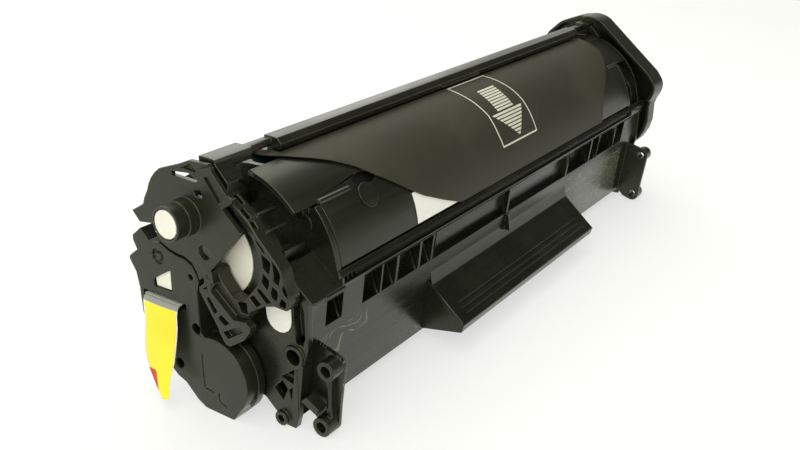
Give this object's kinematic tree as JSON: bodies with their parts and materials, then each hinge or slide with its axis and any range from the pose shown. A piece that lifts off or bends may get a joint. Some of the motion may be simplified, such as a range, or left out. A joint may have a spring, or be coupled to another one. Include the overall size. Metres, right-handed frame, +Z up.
{
  "type": "toner cartridge",
  "caption": "Laser printer toner cartridge: hopper with a handle, drum, developer and charge rollers in mesh, a swinging drum shutter, end covers with guide bosses and a pull tab.",
  "frame": {"origin": "middle of the bounding box's base, on the surface that the cartridge rests on", "axes": "+X along the drum from the tab end to the gear end, +Z up, -Y to the front with the handle"},
  "size_m": [0.3196, 0.0892, 0.0989],
  "materials": {
    "housing": "dark olive grey moulding, lightly scuffed",
    "shutter": "dark olive grey, satin",
    "cover": "dark olive grey, fine grain",
    "white": "cream white, satin",
    "gear": "natural acetal",
    "drum": "blue green photoconductor coating, glossy",
    "steel": "plain steel",
    "sleeve": "blasted dark sleeve",
    "rubber": "matt black",
    "blade": "amber urethane",
    "film": "milky film",
    "tab": "bright yellow with red marks",
    "sheet": "dull dark film with fine grain",
    "label": "blank white paper label"
  },
  "bodies": {
    "root": {"main_housing": "housing", "hopper_deck": "housing", "seal_strip": "film", "pull_tab": "tab", "developer_frame": "housing", "doctor_bracket": "steel", "doctor_blade": "rubber", "charge_bearing_left": "white", "charge_bearing_right": "white", "idler_pin": "steel", "waste_bin": "housing", "blade_bracket": "steel", "cleaning_blade": "blade", "cover_sheet": "sheet", "shutter_pin_left": "steel", "shutter_pin_right": "steel", "shutter_spring": "steel", "left_cover_upper": "cover", "left_cover_lower": "cover", "boss_disc": "white", "end_cap": "white", "end_label": "label", "panel_label": "label", "right_cover": "cover", "unit_spring": "steel", "contact_spring": "steel"},
    "shutter": {"shutter": "shutter"},
    "drum": {"drum_tube": "drum", "drum_hub": "white", "drum_gear": "gear"},
    "developer_roller": {"developer_sleeve": "sleeve", "magnet_core": "steel", "developer_gear": "gear"},
    "charge_roller": {"charge_roller": "rubber", "charge_core": "steel"},
    "agitator": {"agitator_shaft": "gear", "agitator_film": "film", "agitator_gear": "gear"},
    "idler": {"idler_gear": "gear"}
  },
  "joints": [
    {"name": "shutter_swing", "type": "hinge", "parent": "root", "child": "shutter", "pos_m": [0, 0.00465, 0.054], "axis": [-1, 0, 0], "range_deg": [0, 38], "stiffness_Nm_per_rad": 0.01, "springref_deg": -45.84},
    {"name": "drum_spin", "type": "hinge", "parent": "root", "child": "drum", "pos_m": [0, 0.01205, 0.0744], "axis": [1, 0, 0], "continuous": true},
    {"name": "developer_spin", "type": "hinge", "parent": "root", "child": "developer_roller", "pos_m": [0, 0.02095, 0.05615], "axis": [1, 0, 0], "continuous": true},
    {"name": "idler_spin", "type": "hinge", "parent": "root", "child": "idler", "pos_m": [0, 0.02117, 0.03446], "axis": [1, 0, 0], "continuous": true},
    {"name": "agitator_spin", "type": "hinge", "parent": "root", "child": "agitator", "pos_m": [0, 0.00515, 0.015], "axis": [1, 0, 0], "continuous": true},
    {"name": "charge_spin", "type": "hinge", "parent": "root", "child": "charge_roller", "pos_m": [0, 0.02763, 0.06811], "axis": [1, 0, 0], "continuous": true}
  ],
  "couplings": [
    {"joint": "developer_spin", "follows": "drum_spin", "ratio": -1.9},
    {"joint": "idler_spin", "follows": "drum_spin", "ratio": 0.90476},
    {"joint": "agitator_spin", "follows": "drum_spin", "ratio": -1.2667},
    {"joint": "charge_spin", "follows": "drum_spin", "ratio": -2.6667}
  ]
}
